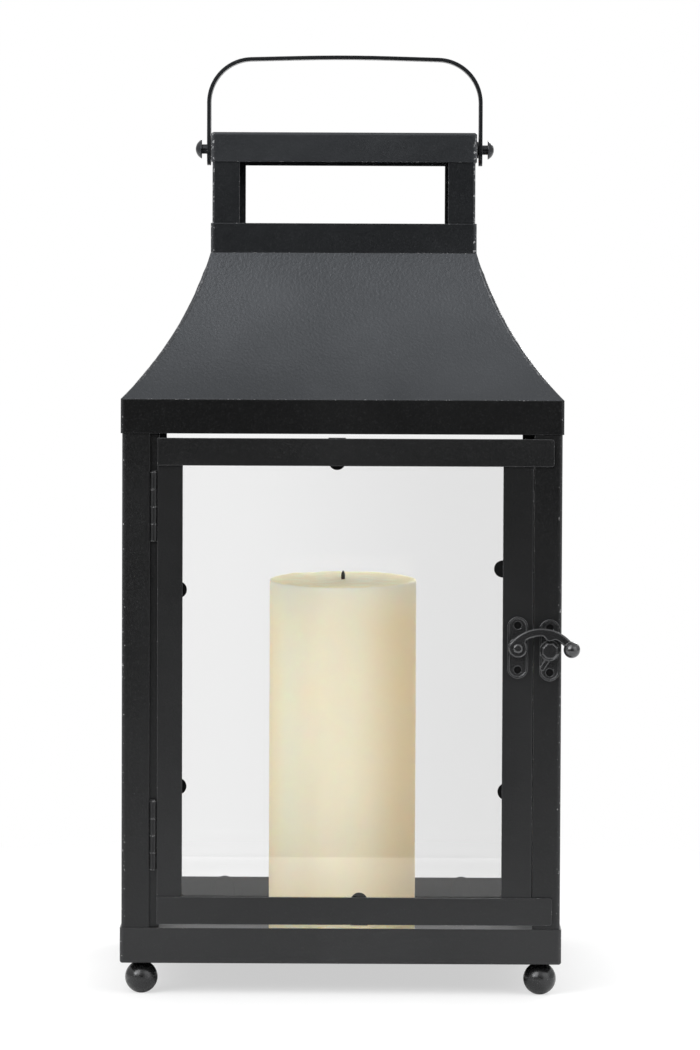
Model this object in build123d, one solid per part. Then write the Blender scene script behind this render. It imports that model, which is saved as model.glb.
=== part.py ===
from build123d import *
import os

# Garden lantern for a pillar candle. Millimetres, +Z up, the door faces -Y.
# The origin is the middle of the footprint, on the surface that the feet stand on.

# Sheet metal body
body_width = 232.0          # outside of the tray and of the eave band, square in plan
sheet = 0.8                 # tray, bands, roof panels and cap
bend = 1.4                  # outside radius of a folded corner
tray_height = 18.7
opening_height = 259.8      # clear height between the tray and the eave band
eave_height = 17.9
roof_height = 76.6
roof_sag = 5.7              # depth of the roof panels' hollow curve
weld_gap = 0.1              # seam between two mitred roof panels
neck_width = 141.0          # outside of the neck band and of the cap
neck_height = 15.7
window_height = 32.5        # open chimney between the neck band and the cap
cap_height = 15.6

# Ball feet
foot_ball = 17.2
foot_flat = 0.2             # depth of the flats where a ball stands and where it meets the tray
foot_inset = 11.0           # from the tray's side to the ball's axis
foot_screw = 3.0
foot_screw_head = 7.0
foot_screw_head_height = 1.8
foot_screw_depth = 9.0      # length of the screw inside the ball

# Angle posts
angle_wall = 1.2
post_leg = 14.6
chimney_leg = 14.4

# Glass and its clips
pane = 2.0
pane_gap = 0.4              # play between a pane's edge and what stands beside it
pane_tuck = 7.6             # height of the fixed panes hidden behind the eave band
clip_sheet = 0.6
clip_width = 9.0
clip_foot = 4.0             # tail of a clip that is welded to the frame
clip_show = 2.2             # nose of a clip past the edge of the frame bar
clip_show_long = 4.6        # the one clip that stands further out
floor_clip_width = 11.2
floor_clip_foot = 6.0
floor_clip_rise = 1.0       # top of a floor clip above the tray's edge
fixed_clip_spread = 67.0    # clips of a fixed pane, each side of its middle

# Door
bar = 1.2                   # flat bar of the stiles and rails
door_gap_low = 2.1          # under the door
door_gap_high = 2.3         # over the door
door_gap_side = 0.5         # beside the latch stile
door_clear = 0.3            # between the rails' backs and the post that they close on
rail_height = 14.4
rail_lap = 10.3             # length of the rails lapped over the latch post
stile_hinge_width = 13.2
stile_latch_width = 15.8
pane_lap_hinge = 6.2        # door pane behind the hinge stile
pane_lap_latch = 4.5        # door pane behind the latch stile
pane_lap_rail = 9.8         # door pane behind the rails
clip_over_hinge = 7.7       # from the lower hinge up to the hinge stile's lower clip
clip_under_hinge = 25.5     # from the upper hinge down to its upper clip
clip_rise_latch_low = 70.2  # clips of the latch stile, from the door's lower edge
clip_rise_latch_high = 187.3
clip_place_top = -2.7       # clips of the rails, from the lantern's middle
clip_place_bottom = 9.7

# Hinges
hinge_gap = 4.0             # between the post and the hinge stile
barrel = 3.3
knuckles = 4
knuckle_gap = 0.25
hinge_height = 36.2
hinge_rise = 28.4           # from the door's lower edge to the lower hinge
hinge_drop = 18.0           # from the door's upper edge to the upper hinge
leaf = 0.8
leaf_clear = 0.3            # between a leaf and the other leaf's knuckles
leaf_reach_post = 9.0
pin = 1.6
pin_head = 2.6
pin_head_height = 0.7
strip = 1.2                 # flat strip behind the hinges that closes the gap beside the door
strip_lap_post = 9.0
strip_lap_door = 1.0
strip_tuck = 6.0            # height of the strip hidden behind the eave band

# Running clearance of a pin or rivet in its hole, on the radius
running = 0.05

# Latch and catch
latch_rise = 146.3          # from the door's lower edge to the hook's pivot
fitting_plate = 1.0
fitting_width = 11.0
fitting_length = 32.5
fitting_rim = 0.4           # height of the raised rim
fitting_rim_width = 1.1
screw_spread = 23.4
screw_hole = 4.0
screw_head = 3.4
screw_shank = 2.4
screw_recess = 0.5          # heads lie this far below the plate's front
screw_tail = 1.5
latch_boss = 9.7
latch_boss_height = 3.2
pivot = 3.2
pivot_dome = 5.3
pivot_dome_height = 1.6
pivot_dome_round = 1.3
pivot_tail = 0.9
pivot_tail_width = 5.0
catch_offset = 16.8         # from the latch pivot to the catch
catch_drop = 1.4
catch_boss = 10.5
catch_boss_height = 1.5
catch_head = 8.7            # across the flats of the bevelled button
catch_sides = 8
catch_head_height = 5.2
catch_bevel = 0.8
catch_rib = 8.0             # slanting rib under the button: length, width, height
catch_rib_width = 2.3
catch_rib_height = 0.9
catch_rib_slant = 58.0
catch_rib_drop = 7.0
catch_rib_offset = -2.4
hook_sheet = 2.8
hook_clear = 0.25           # between the hook and the boss behind it
hook_hub = 9.8
hook_bow = 20.8             # radius of the arm's upper edge, which runs on from the hub's
hook_lean = 40.0            # slope of the line from the pivot down to the centre of that radius
hook_sweep = 109.2          # angle of the arm from the hub to the ball knob
hook_width = 4.3
hook_belly = 6.2
hook_lift = 0.6             # between the hook's belly and the catch button
hook_crotch = 1.8           # cast radius where the arm meets the hub and the belly
hook_bevel = 0.6
knob = 8.7

# Bail handle
strap = 2.0
strap_width = 14.0
bail_clear = 2.1            # between the cap's sides and the strap's legs, filled by the collars
bail_height = 51.0          # from the rivets to the top of the strap
bail_tail = 8.8             # leg below the rivets
bail_corner = 23.5          # bend radius at the strap's middle
bail_crown = 2.0            # rise of the strap from its corners to its middle
bail_crown_radius = 900.0
bail_pivot_drop = 7.8       # from the cap's top to the rivets
rivet = 5.2
rivet_head = 10.4
rivet_head_height = 3.3
rivet_stand = 3.0           # bare shank between the strap and the head
rivet_tail = 1.6
rivet_tail_width = 8.0
washer = 9.0
washer_play = 0.2

# Candle
candle_width = 80.0
candle_height = 195.1       # at its middle
candle_fall = 3.9           # of the hand-cut top, from its back rim to its front rim
candle_edge = 1.1
wick = 2.4
wick_length = 13.0
wick_show = 4.2

# Levels and half widths that follow
tray_bottom = foot_ball - 2 * foot_flat
floor_top = tray_bottom + sheet
tray_top = tray_bottom + tray_height
eave_bottom = tray_top + opening_height
eave_top = eave_bottom + eave_height
roof_top = eave_top + roof_height
neck_top = roof_top + neck_height
cap_bottom = neck_top + window_height
cap_top = cap_bottom + cap_height
body_half = body_width / 2
fold = bend - sheet         # inside radius of a folded corner
post_face = body_half - sheet
post_edge = post_face - post_leg
post_inner = post_face - angle_wall
pane_inner = post_inner - pane
neck_half = neck_width / 2
chimney_face = neck_half - sheet

hinge_x = -post_edge + hinge_gap / 2
door_left = -post_edge + hinge_gap
door_right = post_edge - door_gap_side
door_low = tray_top + door_gap_low
door_high = eave_bottom - door_gap_high
stile_front = post_face + door_clear
stile_back = stile_front - bar
window_left = door_left + stile_hinge_width
window_right = door_right - stile_latch_width
window_low = door_low + rail_height
window_high = door_high - rail_height
door_pane_back = stile_back - pane

hinge_low = door_low + hinge_rise
hinge_high = door_high - hinge_drop - hinge_height

latch_level = door_low + latch_rise
latch_x = door_right - stile_latch_width / 2
catch_x = latch_x + catch_offset
catch_level = latch_level - catch_drop
hook_back = stile_front + fitting_plate + latch_boss_height + hook_clear
hook_middle = hook_back + hook_sheet / 2

bail_level = cap_top - bail_pivot_drop
strap_inner = neck_half + bail_clear
strap_outer = strap_inner + strap

os.makedirs("parts", exist_ok=True)
corners = {"front_left": 0, "front_right": 90, "rear_right": 180, "rear_left": 270}
centred = (Align.CENTER, Align.CENTER, Align.MIN)


def save(shape, name):
    export_step(shape, f"parts/{name}.step")


def group(solids):
    return Compound(children=list(solids))


def block(low, high):
    size = Vector(high) - Vector(low)
    return Pos(*low) * Box(size.X, size.Y, size.Z, align=(Align.MIN, Align.MIN, Align.MIN))


def rod(start, end, width):
    axis = Vector(end) - Vector(start)
    return extrude(Plane(start, z_dir=axis) * Circle(width / 2), amount=axis.length)


def front_plane(x, depth, z):
    """Drawing plane that looks at the lantern's front: X right, Y up, out towards the viewer."""
    return Plane((x, -depth, z), x_dir=(1, 0, 0), z_dir=(0, -1, 0))


# Folded sheet: tray, bands and cap
def folded_tray(width, height):
    outside = Box(width, width, height, align=centred)
    outside = fillet(outside.edges().filter_by(Axis.Z) + outside.faces().sort_by(Axis.Z)[0].edges(), bend)
    room = width - 2 * sheet
    inside = Pos(0, 0, sheet) * Box(room, room, height, align=centred)
    folds = inside.edges().filter_by(Axis.Z) + inside.faces().sort_by(Axis.Z)[0].edges()
    return outside - fillet(folds, fold)


def folded_band(width, height):
    room = width - 2 * sheet
    outline = RectangleRounded(width, width, bend) - RectangleRounded(room, room, fold)
    return extrude(outline, amount=height)


foot_place = body_half - foot_inset
foot_places = [Vector(-foot_place, -foot_place).rotate(Axis.Z, turn) for turn in corners.values()]


def foot_bore(place, low):
    return rod((place.X, place.Y, low), (place.X, place.Y, tray_top), foot_screw + 2 * running)


base_tray = Pos(0, 0, tray_bottom) * folded_tray(body_width, tray_height)
save(base_tray - [foot_bore(place, 0) for place in foot_places], "base_tray")
save(Pos(0, 0, eave_bottom) * folded_band(body_width, eave_height), "eave_band")
save(Pos(0, 0, roof_top) * folded_band(neck_width, neck_height), "neck_band")

rivet_bore = rod((-neck_width, 0, bail_level), (neck_width, 0, bail_level), rivet + 2 * running)
save(Pos(0, 0, cap_top) * Rot(180, 0, 0) * folded_tray(neck_width, cap_height) - rivet_bore, "cap")


# Ball feet and the screws that hold them to the tray floor
def foot(place):
    ball = Pos(place.X, place.Y, tray_bottom / 2) * Sphere(foot_ball / 2)
    ball &= Pos(place.X, place.Y) * Box(foot_ball, foot_ball, tray_bottom, align=centred)
    return ball - foot_bore(place, tray_bottom - foot_screw_depth - running)


def foot_fixing(place):
    seat = Vector(place.X, place.Y, floor_top)
    shank = rod(seat - Vector(0, 0, sheet + foot_screw_depth), seat, foot_screw)
    return shank + rod(seat, seat + Vector(0, 0, foot_screw_head_height), foot_screw_head)


save(group(foot(place) for place in foot_places), "ball_feet")
save(group(foot_fixing(place) for place in foot_places), "foot_screws")


# Corner posts and chimney posts of bent angle
def angle(face, leg, low, high):
    square = Rectangle(leg, leg, align=(Align.MIN, Align.MIN))
    outline = square - Pos(angle_wall, angle_wall) * square
    outline = fillet(outline.vertices().sort_by_distance((0, 0))[0], angle_wall)
    return Pos(-face, -face, low) * extrude(outline, amount=high - low)


def fitting_bores(x, level, screw_levels):
    bores = [rod((x, 0, z), (x, -body_width, z), screw_shank + 2 * running) for z in screw_levels]
    return bores + [rod((x, 0, level), (x, -body_width, level), pivot + 2 * running)]


latch_screw_levels = (latch_level - screw_spread / 2, latch_level + screw_spread / 2)
catch_screw_levels = (catch_level - screw_spread / 2, catch_level + screw_spread / 2)
latch_bores = fitting_bores(latch_x, latch_level, latch_screw_levels)
catch_bores = fitting_bores(catch_x, catch_level, catch_screw_levels)

for name, turn in corners.items():
    post = Rot(0, 0, turn) * angle(post_face, post_leg, floor_top + fold, eave_top - sheet)
    save(post - catch_bores if name == "front_right" else post, f"corner_post_{name}")
    chimney_post = angle(chimney_face, chimney_leg, roof_top, cap_top - sheet - fold)
    save(Rot(0, 0, turn) * chimney_post, f"chimney_post_{name}")


# Roof: four panels rolled to a hollow curve and mitred at the hips
def roof_panel():
    eave, neck = Vector(-body_half, eave_top), Vector(-neck_half, roof_top)
    chord = neck - eave
    radius = chord.length ** 2 / (8 * roof_sag) + roof_sag / 2
    out = Vector(-chord.Y, chord.X).normalized()
    centre = eave + chord / 2 + out * (radius - roof_sag)
    curve = Pos(centre.X, centre.Y) * (Circle(radius + sheet) - Circle(radius))
    level = Pos(-body_half, eave_top) * Rectangle(body_half, roof_height, align=(Align.MIN, Align.MIN))
    rolled = extrude(Plane.YZ * (curve & level), amount=body_half, both=True)
    mitres = Polyline((-body_width, -body_width), (0, 0), (body_width, -body_width), close=True)
    return rolled & extrude(Pos(0, -weld_gap, eave_top) * make_face(mitres), amount=roof_height)


for name, turn in {"front": 0, "right": 90, "rear": 180, "left": 270}.items():
    save(Rot(0, 0, turn) * roof_panel(), f"roof_panel_{name}")


# Clips: bent tabs with a round nose that press a pane against the frame
def round_tab(reach, tail, width):
    turn = reach - width / 2
    shank = Rectangle(turn + tail, width, align=(Align.MAX, Align.CENTER))
    return Pos(turn, 0) * (Circle(width / 2) + shank)


def glass_clip(lap, seat, show):
    """X runs from the bar's edge into the opening, Z from the pane's outside inwards.
    lap is the pane hidden behind the bar, seat the distance from the bar's back to the pane."""
    heel = -lap - pane_gap
    tail = heel - clip_sheet - clip_foot
    back, top = heel - clip_sheet, pane + clip_sheet
    inside = ((tail, -seat), (heel, -seat), (heel, pane), (show, pane))
    outside = ((show, top), (back, top), (back, clip_sheet - seat), (tail, clip_sheet - seat))
    section = make_face(Polyline(*inside, *outside, close=True))
    folded = extrude(Plane.XZ * section, amount=clip_width, both=True)
    return folded & extrude(round_tab(show, -tail, clip_width), amount=pane + clip_sheet + seat, both=True)


def door_clip(x, z, towards, lap, seat, show):
    return Plane((x, -stile_back, z), x_dir=towards, z_dir=(0, 1, 0)) * glass_clip(lap, seat, show)


def floor_clip(x):
    level = tray_top + floor_clip_rise
    upright = Plane((x, pane_inner, floor_top), x_dir=(0, 0, 1), z_dir=(0, -1, 0))
    tab = extrude(upright * round_tab(level - floor_top, 0, floor_clip_width), amount=clip_sheet)
    side = floor_clip_width / 2
    toe = pane_inner - floor_clip_foot
    return tab + block((x - side, toe, floor_top), (x + side, pane_inner, floor_top + clip_sheet))


def eave_clip(x):
    place = Plane((x, post_inner, eave_bottom), x_dir=(0, 0, -1), z_dir=(0, -1, 0))
    return place * glass_clip(pane_tuck, angle_wall, clip_show)


# Fixed panes, inside the posts
pane_low = floor_top + pane_gap
pane_high = eave_bottom + pane_tuck
rear_half = pane_inner - pane_gap
rear_pane = block((-rear_half, pane_inner, pane_low), (rear_half, post_inner, pane_high))
side_front = post_inner - pane_gap
left_pane = block((-post_inner, -side_front, pane_low), (-pane_inner, rear_half, pane_high))
right_pane = mirror(left_pane, about=Plane.YZ)
save(rear_pane, "pane_rear")
save(left_pane, "pane_left")
save(right_pane, "pane_right")

places = (-fixed_clip_spread, fixed_clip_spread)
rear_clips = [clip(x) for x in places for clip in (floor_clip, eave_clip)]
for name, turn in {"rear": 0, "left": 90, "right": 270}.items():
    save(group(Rot(0, 0, turn) * clip for clip in rear_clips), f"pane_clips_{name}")

# Door: stiles, rails lapped over them and over the latch post, pane and clips
hinge_stile = block((door_left, -stile_front, door_low), (window_left, -stile_back, door_high))
latch_stile = block((window_right, -stile_front, door_low), (door_right, -stile_back, door_high))
save(hinge_stile, "door_stile_left")
save(latch_stile - latch_bores, "door_stile_right")


def rail(low):
    right = post_edge + rail_lap
    flat = block((door_left, -stile_front - bar, low), (right, -stile_front, low + rail_height))
    return fillet(flat.edges().filter_by(Axis.Y).group_by(Axis.X)[-1], bend)


save(rail(window_high), "door_rail_top")
save(rail(door_low), "door_rail_bottom")

door_pane = block(
    (window_left - pane_lap_hinge, -stile_back, window_low - pane_lap_rail),
    (window_right + pane_lap_latch, -door_pane_back, window_high + pane_lap_rail),
)
save(door_pane, "door_pane")

right_way, left_way, up_way, down_way = (1, 0, 0), (-1, 0, 0), (0, 0, 1), (0, 0, -1)
door_clips = [
    door_clip(window_left, level, right_way, pane_lap_hinge, 0, clip_show)
    for level in (hinge_low + hinge_height + clip_over_hinge, hinge_high - clip_under_hinge)
]
door_clips += [
    door_clip(window_right, door_low + clip_rise_latch_low, left_way, pane_lap_latch, 0, clip_show),
    door_clip(window_right, door_low + clip_rise_latch_high, left_way, pane_lap_latch, 0, clip_show_long),
    door_clip(clip_place_top, window_high, down_way, pane_lap_rail, bar, clip_show),
    door_clip(clip_place_bottom, window_low, up_way, pane_lap_rail, bar, clip_show),
]
save(group(door_clips), "door_clips")


# Butt hinges: two leaves with every other knuckle each, and a headed pin
leaf_heel = barrel / 2 + leaf_clear
leaf_reach_door = window_left - pane_lap_hinge - pane_gap - hinge_x - leaf_heel


def hinge_rod(low, high, width):
    return rod((hinge_x, -post_face, low), (hinge_x, -post_face, high), width)


def hinge_leaf(low, side, reach, back, first):
    xs = sorted((hinge_x + side * leaf_heel, hinge_x + side * (leaf_heel + reach)))
    plate = block((xs[0], -back, low), (xs[1], -back + leaf, low + hinge_height))
    pitch = hinge_height / knuckles
    for i in range(first, knuckles, 2):
        bottom = low + i * pitch + (knuckle_gap / 2 if i else 0)
        top = low + (i + 1) * pitch - (knuckle_gap / 2 if i < knuckles - 1 else 0)
        xs = sorted((hinge_x, hinge_x + side * leaf_heel))
        plate += block((xs[0], -back, bottom), (xs[1], -back + leaf, top))
        plate += hinge_rod(bottom, top, barrel)
    return plate - hinge_rod(low, low + hinge_height, pin + 2 * running)


def hinge_pin(low):
    top = low + hinge_height
    return hinge_rod(low, top, pin) + hinge_rod(top, top + pin_head_height, pin_head)


for name, low in {"upper": hinge_high, "lower": hinge_low}.items():
    save(hinge_leaf(low, -1, leaf_reach_post, post_inner, 1), f"hinge_post_leaf_{name}")
    save(hinge_leaf(low, 1, leaf_reach_door, stile_back, 0), f"hinge_door_leaf_{name}")
    save(hinge_pin(low), f"hinge_pin_{name}")

# Flat strip over the backs of the post leaves, from the tray floor up behind the eave band
strip_front = post_inner - leaf
hinge_strip = block(
    (-post_edge - strip_lap_post, -strip_front, floor_top),
    (door_left + strip_lap_door, -strip_front + strip, eave_bottom + strip_tuck),
)
save(hinge_strip, "hinge_strip")


# Latch on the door and catch on the post: rimmed oval plates with screws
def fitting(x, depth, level, screw_levels, boss, height):
    face = front_plane(x, depth, level)
    rim = 2 * fitting_rim_width
    oval = Rot(0, 0, 90) * SlotOverall(fitting_length, fitting_width)
    field = Rot(0, 0, 90) * SlotOverall(fitting_length - rim, fitting_width - rim)
    plate = extrude(face * oval, amount=fitting_plate)
    plate += extrude(face * (oval - field), amount=fitting_plate + fitting_rim)
    plate += extrude(face * Circle(boss / 2), amount=fitting_plate + height)
    holes = [rod((x, 0, z), (x, -body_width, z), screw_hole) for z in screw_levels]
    return plate - holes - rod((x, 0, level), (x, -body_width, level), pivot + 2 * running)


def fitting_screw(x, depth, wall, z):
    head_front = depth + fitting_plate - screw_recess
    shank = rod((x, -depth + wall + screw_tail, z), (x, -depth, z), screw_shank)
    return shank + rod((x, -depth, z), (x, -head_front, z), screw_head)


def stud(x, z, back, front):
    """Riveted stud: a shank through plate and sheet with a flattened tail behind."""
    shank = rod((x, -back, z), (x, -front, z), pivot)
    return shank + rod((x, -back + pivot_tail, z), (x, -back, z), pivot_tail_width)


latch_plate = fitting(latch_x, stile_front, latch_level, latch_screw_levels, latch_boss, latch_boss_height)
save(latch_plate, "latch_plate")

hook_front = hook_back + hook_sheet + running
dome_face = front_plane(latch_x, hook_front, latch_level)
dome = extrude(dome_face * Circle(pivot_dome / 2), amount=pivot_dome_height)
dome = fillet(dome.faces().sort_by(Axis.Y)[0].edges(), pivot_dome_round)
save(stud(latch_x, latch_level, stile_back, hook_front) + dome, "latch_pivot")
save(group(fitting_screw(latch_x, stile_front, bar, z) for z in latch_screw_levels), "latch_screws")

catch_plate = fitting(catch_x, post_face, catch_level, catch_screw_levels, catch_boss, catch_boss_height)
rib_face = front_plane(catch_x + catch_rib_offset, post_face, catch_level - catch_rib_drop)
rib = rib_face * Rot(0, 0, catch_rib_slant) * SlotOverall(catch_rib, catch_rib_width)
catch_plate += extrude(rib, amount=fitting_plate + catch_rib_height)
save(catch_plate, "catch_plate")
catch_step = post_face + fitting_plate + catch_boss_height
catch_face = front_plane(catch_x, catch_step, catch_level)
octagon = RegularPolygon(catch_head / 2, catch_sides, major_radius=False, rotation=180 / catch_sides)
head = extrude(catch_face * octagon, amount=catch_head_height)
head = chamfer(head.faces().sort_by(Axis.Y)[0].edges(), catch_bevel)
save(stud(catch_x, catch_level, post_inner, catch_step) + head, "catch_button")
save(group(fitting_screw(catch_x, post_face, angle_wall, z) for z in catch_screw_levels), "catch_screws")


# Hook: a cast arm with bevelled edges that arches over the catch and ends in a ball knob
def hook():
    centre = Vector(hook_bow - hook_hub / 2, 0).rotate(Axis.Z, -hook_lean)
    arch = CenterArc(centre, hook_bow - hook_width / 2, 180 - hook_lean, -hook_sweep)
    end = arch @ 1
    belly_rise = catch_head / 2 - catch_drop + hook_lift + hook_belly / 2
    outline = trace(arch, hook_width) + Circle(hook_hub / 2)
    outline += Pos(catch_offset, belly_rise) * Circle(hook_belly / 2)
    crotches = [corner for corner in outline.vertices() if 0 < corner.X < end.X - knob]
    outline = fillet(crotches, hook_crotch)
    arm = extrude(front_plane(latch_x, hook_back, latch_level) * outline, amount=hook_sheet)
    arm = chamfer(arm.edges().filter_by(Plane.XZ), hook_bevel)
    arm += Pos(latch_x + end.X, -hook_middle, latch_level + end.Y) * Sphere(knob / 2)
    return arm - rod((latch_x, 0, latch_level), (latch_x, -body_width, latch_level), pivot + 2 * running)


save(hook(), "latch_hook")


# Bail handle: flat strap bent over the cap, on two mushroom-headed rivets
def bail():
    middle = strap_inner + strap / 2
    tail, top = bail_level - bail_tail, bail_level + bail_height - strap / 2
    shoulder = top - bail_crown
    route = ((-middle, tail), (-middle, shoulder), (0, top), (middle, shoulder), (middle, tail))
    path = Plane.XZ * FilletPolyline(*route, radius=[bail_corner, bail_crown_radius, bail_corner])
    bent = sweep(Pos(-middle, 0, tail) * Rectangle(strap, strap_width), path=path)
    side = Rectangle(strap_width, bail_tail + bail_height, align=(Align.CENTER, Align.MIN))
    rounded = Pos(0, tail + strap_width / 2) * (Circle(strap_width / 2) + side)
    return bent & extrude(Plane.YZ * rounded, amount=strap_outer, both=True)


save(bail() - rivet_bore, "bail_handle")


def bail_rivet():
    tail, head = Vector(chimney_face, 0, bail_level), Vector(strap_outer + rivet_stand, 0, bail_level)
    rim, crown = (0, rivet_head / 2), (rivet_head_height, 0)
    dome = (rivet_head ** 2 / 4 + rivet_head_height ** 2) / (2 * rivet_head_height)
    profile = make_face(RadiusArc(rim, crown, dome) + Polyline(crown, (0, 0), rim))
    mushroom = Pos(head) * revolve(profile, Axis.X)
    clinch = rod(tail - Vector(rivet_tail, 0, 0), tail, rivet_tail_width)
    return rod(tail, head, rivet) + mushroom + clinch


def bail_washer():
    collar = rod((neck_half, 0, bail_level), (strap_inner - washer_play, 0, bail_level), washer)
    return collar - rivet_bore


for name, piece in {"bail_rivets": bail_rivet(), "bail_washers": bail_washer()}.items():
    save(group((piece, mirror(piece, about=Plane.YZ))), name)

# Pillar candle on the tray floor, its top cut on a slope, with its wick in a hole down its middle
candle_top = floor_top + candle_height
poured = Pos(0, 0, floor_top) * Cylinder(candle_width / 2, candle_height + candle_fall, align=centred)
slope = ((-candle_width, candle_top - candle_fall), (candle_width, candle_top + candle_fall))
below = make_face(Polyline((candle_width, 0), (-candle_width, 0), *slope, close=True))
wax = poured & extrude(Plane.YZ * below, amount=candle_width, both=True)
wax = fillet(wax.faces().sort_by(Axis.Z)[-1].edges(), candle_edge)
wick_low = candle_top + wick_show - wick_length
save(wax - rod((0, 0, wick_low), (0, 0, candle_top + wick_show), wick + 2 * running), "candle")
save(rod((0, 0, wick_low), (0, 0, candle_top + wick_show), wick), "candle_wick")
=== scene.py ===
import math

import bmesh
import bpy
from mathutils import Matrix, Vector, noise


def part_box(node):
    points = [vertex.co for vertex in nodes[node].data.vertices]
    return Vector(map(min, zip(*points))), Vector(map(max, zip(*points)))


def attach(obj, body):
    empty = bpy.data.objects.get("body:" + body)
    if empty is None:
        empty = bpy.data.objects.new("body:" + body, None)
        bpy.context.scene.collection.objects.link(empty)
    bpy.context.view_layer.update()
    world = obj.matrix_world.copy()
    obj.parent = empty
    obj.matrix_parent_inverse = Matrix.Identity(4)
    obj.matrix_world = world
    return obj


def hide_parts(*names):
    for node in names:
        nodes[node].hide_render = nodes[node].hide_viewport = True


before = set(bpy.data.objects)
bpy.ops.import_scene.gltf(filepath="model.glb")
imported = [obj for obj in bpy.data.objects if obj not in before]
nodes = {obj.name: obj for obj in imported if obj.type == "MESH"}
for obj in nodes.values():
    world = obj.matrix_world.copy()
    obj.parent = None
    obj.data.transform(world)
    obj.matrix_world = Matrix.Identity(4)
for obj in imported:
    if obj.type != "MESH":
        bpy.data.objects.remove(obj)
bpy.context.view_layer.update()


# Base tray: a shallow open tray folded from 0.8 mm steel sheet, its corners welded and ground.
# Like all the steelwork it is powder coated in a fine-grained satin black, which chips along
# the folds and cut edges. Each piece's coat is made lighter or darker on its own, as painted light
# and shade on what is one paint, and lighter along its edges as a painted highlight.
mm = 0.001


class Wire:
    """A shader socket. Operators add Math nodes, node() adds a node of any other kind."""

    def __init__(self, tree, socket=None):
        self.tree = tree
        self.socket = socket

    def node(self, kind, settings=None, inputs=None, output=0):
        made = self.tree.nodes.new("ShaderNode" + kind)
        for name, value in (settings or {}).items():
            setattr(made, name, value)
        for name, value in (inputs or {}).items():
            if isinstance(value, Wire):
                self.tree.links.new(value.socket, made.inputs[name])
            else:
                made.inputs[name].default_value = value
        return Wire(self.tree, made.outputs[output])

    def math(self, operation, first, second):
        return self.node("Math", {"operation": operation}, {0: first, 1: second})

    def __add__(self, other):
        return self.math("ADD", self, other)

    def __sub__(self, other):
        return self.math("SUBTRACT", self, other)

    def __rsub__(self, other):
        return self.math("SUBTRACT", other, self)

    def __mul__(self, other):
        return self.math("MULTIPLY", self, other)

    __radd__ = __add__
    __rmul__ = __mul__

    def along(self, axis):
        """One part of a vector: X, Y or Z."""
        return self.node("SeparateXYZ", None, {0: self}, output=axis)

    def size(self):
        """A value without its sign."""
        return self.math("ABSOLUTE", self, 0)

    def ease(self, low, high):
        """0 below low, 1 above high, smooth between."""
        span = {"Value": self, "From Min": low, "From Max": high}
        return self.node("MapRange", {"interpolation_type": "SMOOTHSTEP"}, span)

    def blend(self, first, second):
        """A colour between two colours, by this value."""
        return self.node("Mix", {"data_type": "RGBA"}, {0: self, 6: first, 7: second}, output=2)

    def feed(self, shader, name):
        self.tree.links.new(self.socket, shader.inputs[name])


def new_finish(name, **constants):
    """A material with its Principled shader's plain sockets set, and a wire to add nodes with."""
    finish = bpy.data.materials.new(name)
    finish.use_nodes = True
    shader = finish.node_tree.nodes["Principled BSDF"]
    for socket, value in constants.items():
        shader.inputs[socket.replace("_", " ")].default_value = value
    return finish, shader, Wire(finish.node_tree)


def speckle(wire, place, size, detail=2.0):
    """Noise whose grains are about this large."""
    return wire.node("TexNoise", None, {"Vector": place, "Scale": 0.8 / size, "Detail": detail})


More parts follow.
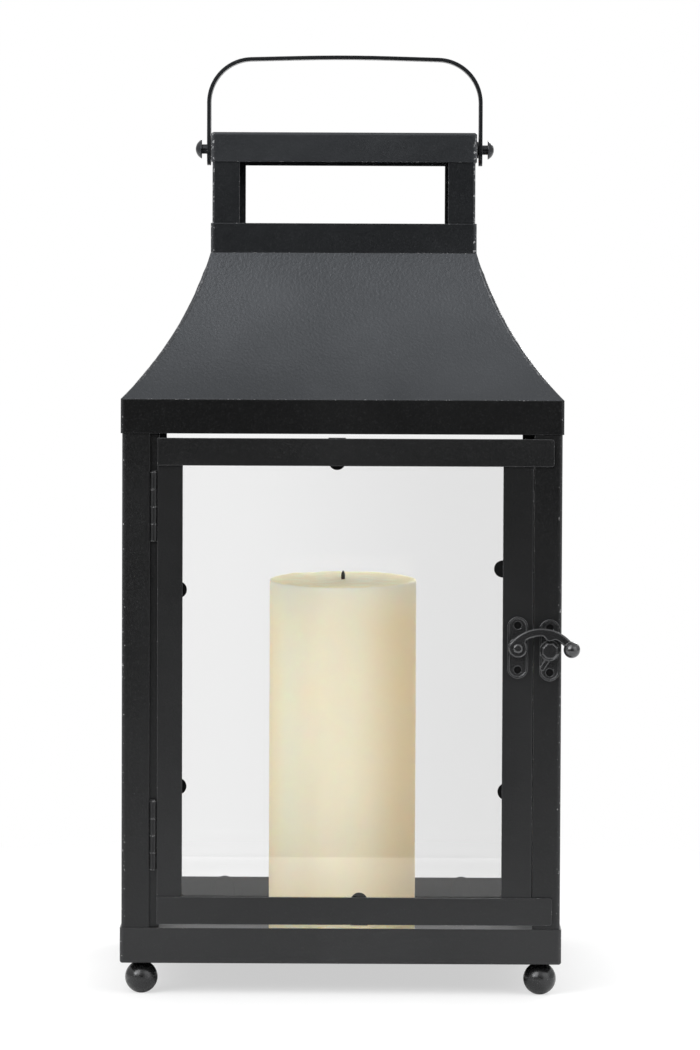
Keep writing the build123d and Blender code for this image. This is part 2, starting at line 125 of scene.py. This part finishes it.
def powder_coat(name, tone=1.0, gloss=0.34, grain=0.35, sparkle=0.08, chips=0.5, rim=0.2,
                fold=None, bare=0.0, shine=0.5, cast=0.3, dents=1.2):
    """Black coat on steel. tone lightens it, a painted light and shade set piece by piece, and cast
    turns it and its mirror blue, a painted cool reflection. rim lightens it along edges, partly
    where the coat thins and partly a painted highlight, chips flakes it off there and bare spreads
    both over the whole piece. fold is how far from the middle the sheet is folded, and dents is how
    uneven it lies."""
    # cast tints the coat and its mirror blue: a painted cool reflection.
    sky = (1 - 0.10 * cast, 1 - 0.06 * cast, 1.0, 1)
    finish, shader, wire = new_finish(name, Specular_IOR_Level=shine, Specular_Tint=sky)
    place = wire.node("TexCoord", output="Object")
    fine = speckle(wire, place, 0.7 * mm)
    peel = speckle(wire, place, 1.2 * mm)
    waves = speckle(wire, place, 24 * mm)
    cloud = speckle(wire, place, 55 * mm, 3.0)
    flakes = speckle(wire, place, 1.1 * mm, 3.0)

    edge_radius = 0.7 * mm
    fold_start, fold_end = 2.4 * mm, 1.2 * mm
    chip_cover = 0.85
    rounded = wire.node("Bevel", {"samples": 6}, {"Radius": edge_radius})
    face = wire.node("NewGeometry", output="Normal")
    normals = {0: rounded, 1: face}
    square = wire.node("VectorMath", {"operation": "DOT_PRODUCT"}, normals, output="Value")
    edge = (1 - square).ease(0.02, 0.16) + bare
    if fold:
        corner = wire.math("MINIMUM", place.along("X").size(), place.along("Y").size())
        edge = wire.math("MAXIMUM", edge, corner.ease(fold - fold_start, fold - fold_end))
    chip_start, chip_full = 0.74 - 0.25 * chips, 0.80 - 0.25 * chips
    chipped = (edge * flakes.ease(chip_start, chip_full)).ease(0.3, 0.7)

    # tone scales the coat from piece to piece: painted light and shade on one paint.
    black = ((0.0051 - 0.0005 * cast) * tone, 0.0050 * tone, (0.0050 + 0.0005 * cast) * tone, 1)
    dusty = ((0.0077 - 0.0006 * cast) * tone, 0.0076 * tone, (0.0076 + 0.0007 * cast) * tone, 1)
    flake = (0.075, 0.075, 0.079, 1)
    thin_and_lit = (0.070, 0.071, 0.074, 1)
    primer = (0.30, 0.30, 0.305, 1)
    coat = cloud.ease(0.35, 0.7).blend(black, dusty)
    coat = (fine.ease(0.60, 0.72) * sparkle).blend(coat, flake)
    # Lighter along edges: partly the coat thinning there, partly a painted highlight.
    coat = (edge * rim).blend(coat, thin_and_lit)
    coat = (chipped * chip_cover).blend(coat, primer)
    coat.feed(shader, "Base Color")
    dull = gloss + (fine - 0.5) * 0.16 + (cloud - 0.5) * 0.10 + chipped * 0.2
    dull.feed(shader, "Roughness")
    height = fine * 0.3 + peel + waves * dents - chipped * 0.9
    relief = {"Strength": grain, "Distance": 0.16 * mm, "Height": height, "Normal": rounded}
    wire.node("Bump", None, relief).feed(shader, "Normal")
    return finish


def dress(finish, *names):
    """Gives CAD nodes their finish."""
    for name in names:
        nodes[name].data.materials.clear()
        nodes[name].data.materials.append(finish)


tray_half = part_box("base_tray")[1].x
tray_coat = powder_coat("tray_powder_coat", tone=1.25, chips=0.4, rim=0.12, fold=tray_half)
dress(tray_coat, "base_tray")

# Ball feet: solid turned steel balls, each held to the tray floor by a screw from above. They are
# coated before they go on, a little glossier than the sheet.
foot_coat = powder_coat(
    "foot_powder_coat", tone=0.7, gloss=0.27, grain=0.1, sparkle=0.03, chips=0.2, shine=0.6
)
dress(foot_coat, "ball_feet", "foot_screws")

# Corner posts and eave band: rolled steel angle stands inside the tray's corners and is spot welded
# to it, and a folded band of sheet ties the posts together under the roof. A flat strip behind the
# hinges closes the gap between the hinge post and the door.
corners = ("front_left", "front_right", "rear_right", "rear_left")
post_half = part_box("corner_post_rear_right")[1].x
post_coat = powder_coat(
    "post_powder_coat", tone=0.65, chips=0.35, rim=0.1, fold=post_half, shine=0.46
)
# The eave band, under the roof's edge, is coloured darker than the door, as painted shade.
eave_coat = powder_coat(
    "eave_powder_coat", tone=0.6, chips=0.35, rim=0.1, fold=tray_half, shine=0.28
)
dress(post_coat, "hinge_strip", *(f"corner_post_{corner}" for corner in corners))
dress(eave_coat, "eave_band")

# Roof: four steel sheets rolled to a hollow curve and mitred along the hips. The coat lies thicker
# here and dries with a coarse, glittering grain. It is coloured much lighter and bluer than the
# sheet below, as painted light and a painted cool reflection.
roof_coat = powder_coat(
    "roof_powder_coat",
    tone=4.2, gloss=0.37, grain=1.2, sparkle=0.2, chips=0.6, rim=0.5, cast=1.0,
)
dress(roof_coat, *(f"roof_panel_{side}" for side in ("front", "right", "rear", "left")))

# Hip seams: the mitres are closed by a slim weld, dressed flush by hand, so that a fine uneven
# bead is left along each hip, where the coat flakes first. The bead is coloured lighter all along,
# partly where the coat thins and partly as a painted highlight.
seam_coat = powder_coat(
    "seam_powder_coat",
    tone=1.2, gloss=0.32, grain=0.5, chips=0.8, rim=0.6, bare=0.45, cast=1.0,
)
roof_low, roof_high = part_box("roof_panel_front")
roof_rise = roof_high.z - roof_low.z
neck_half = (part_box("neck_band")[1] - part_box("neck_band")[0]).x / 2
eave_half = (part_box("eave_band")[1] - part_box("eave_band")[0]).x / 2
roof_sag = 5.7 * mm
seam_radius = 1.3 * mm
seam_sunk = 0.7
seam_swell = 0.15
seam_lumps = 260
seam_end, seam_growth = 0.2, 6
seam_steps = 56
seam_sides = 8


def roof_half(rise):
    """Half width of the roof at a share of its height, on the hollow curve."""
    run = eave_half - neck_half
    chord = math.hypot(run, roof_rise)
    radius = chord ** 2 / (8 * roof_sag) + roof_sag / 2
    middle = Vector((eave_half - run / 2, roof_rise / 2))
    centre = middle + Vector((roof_rise, run)) / chord * (radius - roof_sag)
    return centre.x - math.sqrt(radius ** 2 - (rise * roof_rise - centre.y) ** 2)


def skin(mesh, rings):
    """Faces between rings of points, closed at both ends."""
    for low, high in zip(rings, rings[1:]):
        for side in range(len(low)):
            after = (side + 1) % len(low)
            mesh.faces.new((low[side], low[after], high[after], high[side]))
    mesh.faces.new(rings[0][::-1])
    mesh.faces.new(rings[-1])


def add_piece(name, mesh, finish, body):
    """A finished mesh as a piece that moves with a body."""
    data = bpy.data.meshes.new(name)
    mesh.to_mesh(data)
    mesh.free()
    data.shade_smooth()
    data.materials.append(finish)
    piece = bpy.data.objects.new(name, data)
    bpy.context.scene.collection.objects.link(piece)
    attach(piece, body)
    return piece


def hip_seam(corner, turn):
    """The bead of the front left hip, turned to its corner."""
    mesh = bmesh.new()
    rings = []
    for step in range(seam_steps + 1):
        rise = step / seam_steps
        half = roof_half(rise)
        middle = Vector((-half, -half, roof_low.z + rise * roof_rise))
        middle += Vector((1, 1, 0)) * seam_radius * seam_sunk
        swell = 1 + seam_swell * noise.noise(middle * seam_lumps + Vector((turn, 0, 0)))
        taper = min(1.0, seam_end + seam_growth * rise, seam_end + seam_growth * (1 - rise))
        ring = []
        for side in range(seam_sides):
            angle = 2 * math.pi * side / seam_sides
            across = Vector((math.cos(angle), -math.cos(angle), 0)) / math.sqrt(2)
            outward = Vector((-math.sin(angle), -math.sin(angle), 0)) / math.sqrt(2)
            ring.append(mesh.verts.new(middle + (across + outward) * seam_radius * swell * taper))
        rings.append(ring)
    skin(mesh, rings)
    bmesh.ops.recalc_face_normals(mesh, faces=mesh.faces)
    mesh.transform(Matrix.Rotation(math.radians(turn), 4, "Z"))
    add_piece(f"hip_seam_{corner}", mesh, seam_coat, "frame")


for corner, turn in zip(corners, (0, 90, 180, 270)):
    hip_seam(corner, turn)

# Chimney: a folded neck band closes the top of the roof, four short angles stand in it and carry
# the cap, a folded lid. All are steel sheet, a little dented, and hands and hooks have chipped
# the corners.
# The cap is coloured lighter than the chimney, and both bluer than the sheet below, as painted
# light and a painted cool reflection.
chimney_coat = powder_coat(
    "chimney_powder_coat",
    tone=1.1, chips=0.65, fold=neck_half, shine=0.46, cast=1.0, dents=8,
)
cap_coat = powder_coat(
    "cap_powder_coat", tone=2.4, gloss=0.38, chips=0.7, fold=neck_half, cast=1.0, dents=15
)
dress(chimney_coat, "neck_band", *(f"chimney_post_{corner}" for corner in corners))
dress(cap_coat, "cap")

# Bail handle: a flat steel strap bent over the cap and hung on two mushroom-headed rivets, with a
# collar on each to keep it off the cap. Its coat is smooth and a little worn along the edges.
# The bail's coat is made bluer than the sheet below, a painted cool reflection.
bail_coat = powder_coat(
    "bail_powder_coat",
    tone=1.0, gloss=0.34, grain=0.15, sparkle=0.03, chips=0.4, rim=0.12, cast=1.0,
)
dress(bail_coat, "bail_handle", "bail_rivets", "bail_washers")

# Fixed panes: float glass slipped in behind the posts and held by bent tin clips, painted with
# the frame. The glass lets the lamps through to the candle, and the rear pane mirrors less than
# the others, so that no second candle shows in it.
clip_coat = powder_coat("clip_powder_coat", tone=1.0, gloss=0.36, grain=0.2, chips=0.5)
pane_half = 80 * mm


def float_glass(name, glint=1.0, clear=1.0):
    """Glass a little darker to the right, a painted shade of the backdrop behind it. glint is its
    share of real glass's mirror.
    """
    mirror = (glint, glint, glint, 1)
    finish, shader, wire = new_finish(
        name, Transmission_Weight=1.0, IOR=1.46, Specular_Tint=mirror
    )
    place = wire.node("TexCoord", output="Object")
    left, right = 0.988 * clear, 0.928 * clear
    haze = 0.012
    across = place.along("X").ease(-pane_half, pane_half)
    across.blend((left, left, left, 1), (right, right, right, 1)).feed(shader, "Base Color")
    smear = speckle(wire, place, 38 * mm, 5.0).ease(0.52, 0.80) * haze
    smear.feed(shader, "Roughness")
    wave = speckle(wire, place, 120 * mm, 1.0)
    ripple = wire.node("Bump", None, {"Strength": 0.03, "Distance": 0.2 * mm, "Height": wave})
    ripple.feed(shader, "Normal")
    glass = Wire(wire.tree, shader.outputs[0])
    shadow = wire.node("LightPath", output="Is Shadow Ray")
    lit_through = wire.node("BsdfTransparent", None, {"Color": (0.985, 0.987, 0.986, 1)})
    mixed = wire.node("MixShader", None, {0: shadow, 1: glass, 2: lit_through})
    mixed.feed(finish.node_tree.nodes["Material Output"], "Surface")
    return finish


dress(float_glass("side_glass"), "pane_left", "pane_right")
dress(float_glass("rear_glass", glint=0.3, clear=0.953), "pane_rear")
dress(clip_coat, *(f"pane_clips_{side}" for side in ("rear", "left", "right")))

# Door: flat bar stiles with rails lapped over them and over the latch post, spot welded at the
# corners, and a pane of the same glass behind, under six clips.
door_coat = powder_coat("door_powder_coat", tone=0.85, chips=0.55, rim=0.5)
dress(door_coat, "door_stile_left", "door_stile_right", "door_rail_top", "door_rail_bottom")
dress(float_glass("door_glass"), "door_pane")
dress(clip_coat, "door_clips")

# Butt hinges: pressed steel leaves whose rolled knuckles turn on a headed pin. One leaf is welded
# behind the post, the other behind the door's stile, and the coat cracks off between the knuckles.
hinge_coat = powder_coat(
    "hinge_powder_coat", tone=0.6, gloss=0.36, grain=0.2, chips=1.1, rim=0.6, shine=0.4
)
for level in ("upper", "lower"):
    dress(hinge_coat, *(f"hinge_{part}_{level}" for part in ("post_leaf", "door_leaf", "pin")))

# Latch and catch: small die-cast fittings, screwed on. They were blackened before the lantern was
# put together, so they are smoother and glossier than the sheet. Their coat is coloured lighter
# than the sheet as painted light, and lighter still on their rims as a painted highlight. The
# screws, sunk in their holes, are coloured darker and mirror less, as painted shade.
fitting_coat = powder_coat(
    "fitting_black",
    tone=2.2, gloss=0.20, grain=0.03, sparkle=0.0, chips=0.1, rim=0.40, shine=0.95,
)
screw_coat = powder_coat(
    "screw_black", tone=0.3, gloss=0.6, grain=0.1, sparkle=0.0, chips=0.0, rim=0.0, shine=0.1
)
dress(fitting_coat, "latch_plate", "latch_pivot", "latch_hook", "catch_plate", "catch_button")
dress(screw_coat, "latch_screws", "catch_screws")

# Candle: a poured ivory wax pillar, drawn from its mould, that stands loose on the tray's floor.
# Its top was cut by hand and slopes a little to the front, and its cut top is coloured lighter,
# partly its scraped wax and partly painted light. Its sides are faintly mottled and paler towards
# the rim. They are paler on the left as painted light, deeper in colour at the left edge and
# yellower on the right as painted shade, and yellower towards the foot.
candle_low, candle_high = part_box("candle")
candle_radius = (candle_high.x - candle_low.x) / 2
candle_slope = math.radians(2.8)
rim_bevel = 1.1 * mm
rim_in, rim_down = 0.35 * rim_bevel, 0.3 * rim_bevel
foot_bevel = 0.8 * mm
side_wander = 0.12 * mm
side_waves, side_seed = 9, 3.1
top_wander = 0.35 * mm
top_ripples = 160
wick_hole = 1.5 * mm
candle_sides = 144
candle_levels = 60
top_rings = 18


def ivory_wax():
    finish, shader, wire = new_finish(
        "ivory_wax",
        Subsurface_Weight=0.85,
        Subsurface_Radius=(1.0, 0.68, 0.38),
        Subsurface_Scale=20 * mm,
        Specular_Tint=(1.0, 0.96, 0.82, 1),
    )
    place = wire.node("TexCoord", output="Object")
    mottle = speckle(wire, place, 26 * mm, 4.0)
    pores = speckle(wire, place, 1.6 * mm, 3.0)
    shards = speckle(wire, place, 7 * mm, 5.0)

    cut_top = wire.node("NewGeometry", output="Normal").along("Z").ease(0.5, 0.9)
    level = place.along("Z")
    near_rim = level.ease(candle_high.z - 30 * mm, candle_high.z - 2 * mm)
    near_foot = 1 - level.ease(candle_low.z + 15 * mm, candle_low.z + 65 * mm)
    right = place.along("X")
    left = 0 - right
    left_side = left.ease(0, candle_radius)
    left_edge = left.ease(0.72 * candle_radius, candle_radius)
    right_side = right.ease(2 * mm, candle_radius)

    poured, mottled = (0.845, 0.790, 0.610, 1), (0.861, 0.808, 0.630, 1)
    lit_pale, honey = (1.0, 0.922, 0.722, 1), (0.97, 0.81, 0.555, 1)
    shaded_yellow, foot_yellow = (0.90, 0.71, 0.40, 1), (0.80, 0.69, 0.45, 1)
    frosted = (0.94, 0.89, 0.75, 1)
    lit_scraped, lit_splintered = (1.0, 0.83, 0.47, 1), (1.0, 0.93, 0.61, 1)
    ivory = mottle.ease(0.3, 0.7).blend(poured, mottled)
    # Paler on the left is painted light, the deeper left edge and yellower right side are painted
    # shade, and the cut top's lighter colour is partly painted light.
    for where, strength, colour in (
        (left_side, 1.0, lit_pale),
        (left_edge, 1.0, honey),
        (right_side, 0.72, shaded_yellow),
        (near_rim, 0.55, frosted),
        (near_foot, 0.5, foot_yellow),
        (cut_top, 0.95, shards.ease(0.42, 0.62).blend(lit_scraped, lit_splintered)),
    ):
        ivory = (where * strength).blend(ivory, colour)
    ivory.feed(shader, "Base Color")
    dull = 0.42 + (mottle - 0.5) * 0.1 + cut_top * (shards - 0.4) * 0.5
    dull.feed(shader, "Roughness")
    height = mottle * 0.2 + pores * 0.12 + cut_top * (pores * 0.3 + shards * 1.6)
    relief = {"Strength": 0.35, "Distance": 0.5 * mm, "Height": height}
    wire.node("Bump", None, relief).feed(shader, "Normal")
    return finish


def candle_top(x, y):
    """Height of the cut top, highest at the back of the rim."""
    level = candle_high.z - top_wander + math.tan(candle_slope) * (y - candle_radius)
    return level + top_wander * noise.noise(Vector((x, y, 0)) * top_ripples)


def pillar_candle():
    mesh = bmesh.new()
    rings = []

    def ring(radius, height):
        made = []
        for side in range(candle_sides):
            angle = 2 * math.pi * side / candle_sides
            x, y = radius * math.cos(angle), radius * math.sin(angle)
            made.append(mesh.verts.new((x, y, height(x, y))))
        rings.append(made)

    def side_radius(rise):
        wander = noise.noise(Vector((0, side_seed, rise * side_waves)))
        return candle_radius - side_wander * (1 + wander)

    def side_height(x, y, rise):
        bottom = candle_low.z + foot_bevel
        return bottom + rise * (candle_top(x, y) - rim_bevel - candle_low.z - foot_bevel)

    ring(candle_radius - foot_bevel, lambda x, y: candle_low.z)
    for step in range(candle_levels + 1):
        rise = step / candle_levels
        ring(side_radius(rise), lambda x, y: side_height(x, y, rise))
    ring(candle_radius - rim_in, lambda x, y: candle_top(x, y) - rim_down)
    for step in range(top_rings + 1):
        inward = step / top_rings
        ring((candle_radius - rim_bevel) * (1 - inward) + wick_hole * inward, candle_top)
    skin(mesh, rings)
    piece = add_piece("pillar_candle", mesh, ivory_wax(), "candle")
    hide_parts("candle")


pillar_candle()

# Wick: three plies of cotton twisted together, set in the candle's middle when the wax was poured.
# It is trimmed to a point and its tip is charred.
wick_low, wick_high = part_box("candle_wick")
wick_radius = (wick_high.x - wick_low.x) / 2
wick_plies = 3
wick_twists = 3.5
wick_steps = 48
tip_width, tip_length = 0.3, 5
ply_lay, ply_width = 0.48, 0.5
ply_sides = 8
char_length = 5.5 * mm
char_fade = 0.8 * mm


def charred_cotton():
    finish, shader, wire = new_finish("charred_cotton", Sheen_Weight=0.2)
    place = wire.node("TexCoord", output="Object")
    fibre = speckle(wire, place, 0.4 * mm, 3.0)
    char_line = wick_high.z - char_length
    char = place.along("Z").ease(char_line - char_fade, char_line)
    cotton = fibre.blend((0.42, 0.34, 0.20, 1), (0.60, 0.51, 0.34, 1))
    soot = fibre.blend((0.010, 0.008, 0.007, 1), (0.035, 0.028, 0.024, 1))
    char.blend(cotton, soot).feed(shader, "Base Color")
    (0.95 - fibre * 0.2).feed(shader, "Roughness")
    relief = {"Strength": 0.5, "Distance": 0.1 * mm, "Height": fibre}
    wire.node("Bump", None, relief).feed(shader, "Normal")
    return finish


def twisted_wick():
    mesh = bmesh.new()
    for ply in range(wick_plies):
        rings = []
        for step in range(wick_steps + 1):
            rise = step / wick_steps
            turn = 2 * math.pi * (ply / wick_plies + wick_twists * rise)
            taper = min(1.0, tip_width + tip_length * (1 - rise))
            lay = wick_radius * ply_lay * taper
            ply_radius = wick_radius * ply_width * taper
            middle = Vector((lay * math.cos(turn), lay * math.sin(turn), 0))
            height = wick_low.z + rise * (wick_high.z - wick_low.z)
            ring = []
            for side in range(ply_sides):
                angle = 2 * math.pi * side / ply_sides
                around = Vector((math.cos(angle), math.sin(angle), 0)) * ply_radius
                ring.append(mesh.verts.new(middle + around + Vector((0, 0, height))))
            rings.append(ring)
        skin(mesh, rings)
    piece = add_piece("twisted_wick", mesh, charred_cotton(), "candle")
    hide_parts("candle_wick")


twisted_wick()

# Studio table: a pale matt table top that ends a little in front of the lantern. It keeps the
# lantern's shadow and fades to white further off.
table_front = -0.750
table_back = 3.2
table_half = 1.8
shadow_reach = 0.30
shadow_end = 0.62
shadow_lift = 0.58
mirror_reach = 0.47
mirror_end = 0.57
table_pale, table_dark = (0.93, 0.93, 0.93, 1), (0.05, 0.05, 0.05, 1)
paper_white, paper_dim = (1, 1, 1, 1), (0.80, 0.80, 0.80, 1)


def straight_view(wire, turns_allowed):
    """1 for what the camera sees directly or straight through the panes, 0 for light on its way."""
    camera = wire.node("LightPath", output="Is Camera Ray")
    passed = wire.node("LightPath", output="Is Transmission Ray")
    bounces = wire.node("LightPath", output="Ray Depth")
    panes = wire.node("LightPath", output="Transmission Depth")
    turned = (bounces - panes).ease(turns_allowed + 0.25, turns_allowed + 0.75)
    return (camera + passed) * (1 - turned)


def table_finish():
    finish = bpy.data.materials.new("pale_table")
    finish.use_nodes = True
    tree = finish.node_tree
    tree.nodes.remove(tree.nodes["Principled BSDF"])
    wire = Wire(tree)
    place = wire.node("TexCoord", output="Object")
    far = wire.node("VectorMath", {"operation": "LENGTH"}, {0: place}, output="Value")
    panes = wire.node("LightPath", output="Transmission Depth")
    diffuse = wire.node("LightPath", output="Diffuse Depth")
    straight = straight_view(wire, 0)

    # The table's second mirror image, deep in the rear pane, is left dark.
    deep = panes.ease(2.25, 2.75) * (1 - straight) * (1 - diffuse.ease(0.25, 0.75))
    pale = deep.blend(table_pale, table_dark)
    matt = wire.node("BsdfDiffuse", None, {"Color": pale})

    # White seen through the panes is dimmed where the door's pane mirrors the table over it.
    mirrored = panes.ease(0.25, 0.75) * (1 - far.ease(mirror_reach, mirror_end))
    paper = mirrored.blend(paper_white, paper_dim)
    bright = wire.node("Emission", None, {"Color": paper, "Strength": 1.0})
    faded = shadow_lift + (1 - shadow_lift) * far.ease(shadow_reach, shadow_end)
    mixed = wire.node("MixShader", None, {0: faded * straight, 1: matt, 2: bright})
    mixed.feed(tree.nodes["Material Output"], "Surface")
    return finish


def studio_table():
    mesh = bmesh.new()
    outline = ((-1, table_front), (1, table_front), (1, table_back), (-1, table_back))
    mesh.faces.new([mesh.verts.new((side * table_half, y, 0)) for side, y in outline])
    data = bpy.data.meshes.new("studio_table")
    mesh.to_mesh(data)
    mesh.free()
    data.materials.append(table_finish())
    table = bpy.data.objects.new("studio_table", data)
    bpy.context.scene.collection.objects.link(table)


studio_table()

# Studio room and lamps: a white wall behind, pale sides, a bright ceiling and a dim room in front,
# which the coat mirrors. Five soft panels light the lantern: a key and a smaller edge light from
# the left, a fill from the right, one over the roof and one behind for the candle's top.
dim_room = 0.05
wall_light = 0.85
side_light = 0.60
ceiling_light = 0.95
ceiling_fade = 0.3


def studio_room():
    world = bpy.data.worlds.new("studio_room")
    bpy.context.scene.world = world
    world.use_nodes = True
    background = world.node_tree.nodes["Background"]
    wire = Wire(world.node_tree)
    way = wire.node("TexCoord", output="Generated")
    height = way.along("Z")
    above = height.ease(0.16, 0.60) * (1 - ceiling_fade * height.ease(0.85, 1.0))
    behind = way.along("Y").ease(0.55, 0.90)
    beside = way.along("X").size().ease(0.60, 0.95) * (1 - above)
    room = dim_room + wall_light * behind + side_light * beside
    room = room + ceiling_light * above - wall_light * behind * above
    straight = straight_view(wire, 1)
    (straight + (1 - straight) * room).feed(background, "Strength")
    background.inputs["Color"].default_value = (1, 1, 1, 1)


studio_room()
lantern_middle = Vector((0, 0, 0.22))


def soft_panel(name, place, size, power):
    """A square lamp panel that faces the middle of the lantern."""
    lamp = bpy.data.lights.new(name, "AREA")
    lamp.shape = "SQUARE"
    lamp.size = size
    lamp.energy = power
    panel = bpy.data.objects.new(name, lamp)
    panel.location = place
    panel.rotation_euler = (lantern_middle - Vector(place)).to_track_quat("-Z", "Y").to_euler()
    bpy.context.scene.collection.objects.link(panel)


soft_panel("key_panel", (-1.42, -2.13, 1.75), size=1.9, power=46)
soft_panel("over_panel", (-0.30, -0.85, 1.75), size=0.7, power=1.8)
soft_panel("edge_panel", (-1.78, -1.88, 0.95), size=0.45, power=8)
soft_panel("back_panel", (0.9, 2.2, 1.45), size=0.9, power=32)
soft_panel("fill_panel", (2.0, -1.9, 1.0), size=2.3, power=21.5)

# Camera: a long lens, level with the neck band, that looks slightly down at the lantern from
# straight in front, with the small lean of a hand-set tripod.
photo_height = 1050
focal_pixels = 5349
film = 36.0
camera_place = (0.016, -2.910, 0.393)
camera_pitch = 2.975
camera_yaw = 0.243
camera_roll = 0.235


def photo_camera():
    lens = bpy.data.cameras.new("photo_camera")
    lens.sensor_width = film
    lens.lens = focal_pixels / photo_height * film
    camera = bpy.data.objects.new("photo_camera", lens)
    aim = Matrix.Rotation(math.radians(camera_yaw), 4, "Z")
    aim @= Matrix.Rotation(math.radians(90 - camera_pitch), 4, "X")
    aim @= Matrix.Rotation(math.radians(camera_roll), 4, "Z")
    camera.matrix_world = Matrix.Translation(camera_place) @ aim
    bpy.context.scene.collection.objects.link(camera)
    bpy.context.scene.camera = camera


photo_camera()
bpy.context.scene.view_settings.view_transform = "Standard"
